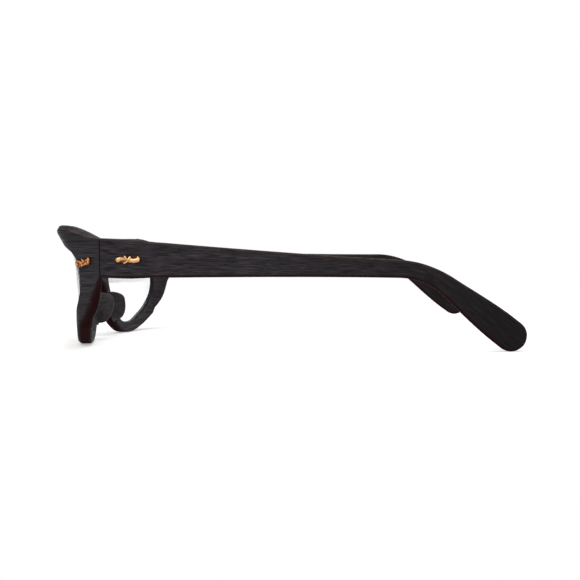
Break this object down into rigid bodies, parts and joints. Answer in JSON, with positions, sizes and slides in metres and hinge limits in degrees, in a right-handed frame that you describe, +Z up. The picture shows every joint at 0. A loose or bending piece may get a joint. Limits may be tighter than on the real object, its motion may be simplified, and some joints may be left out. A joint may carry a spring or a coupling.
{
  "type": "cat eye eyeglasses",
  "caption": "Cat eye eyeglasses with a swept brow, matt brushed dark frame, folding temples on barrel hinges, fin nose pads and cast gold shields",
  "frame": {"origin": "On the resting plane, under the middle of the open pair", "axes": "+X wearer's left, -Y the way the front faces, +Z up"},
  "size_m": [0.1358, 0.1596, 0.041],
  "materials": {
    "frame_acetate": "matt, finely brushed charcoal",
    "temple_acetate": "matt, brushed lengthwise charcoal",
    "pad_acetate": "smooth satin",
    "lens": "clear",
    "gold": "cast, rose gold",
    "hinge_metal": "satin",
    "screw_metal": "turned",
    "core_wire": "drawn wire"
  },
  "bodies": {
    "front": {"front_frame": "frame_acetate", "lens_left": "lens", "lens_right": "lens", "nose_pad_left": "pad_acetate", "nose_pad_right": "pad_acetate", "front_shield_left": "gold", "front_shield_right": "gold", "hinge_front_left": "hinge_metal", "hinge_front_right": "hinge_metal", "hinge_screw_left": "screw_metal", "hinge_screw_right": "screw_metal"},
    "temple_left": {"temple_left": "temple_acetate", "hinge_temple_left": "hinge_metal", "temple_shield_left": "gold", "temple_core_left": "core_wire"},
    "temple_right": {"temple_right": "temple_acetate", "hinge_temple_right": "hinge_metal", "temple_shield_right": "gold", "temple_core_right": "core_wire"}
  },
  "joints": [
    {"name": "fold_left", "type": "hinge", "parent": "front", "child": "temple_left", "pos_m": [0.0594, -0.05618, 0.03], "axis": [0, 0, 1], "range_deg": [0, 90.5]},
    {"name": "fold_right", "type": "hinge", "parent": "front", "child": "temple_right", "pos_m": [-0.0594, -0.05618, 0.03], "axis": [0, 0, -1], "range_deg": [0, 83]}
  ]
}
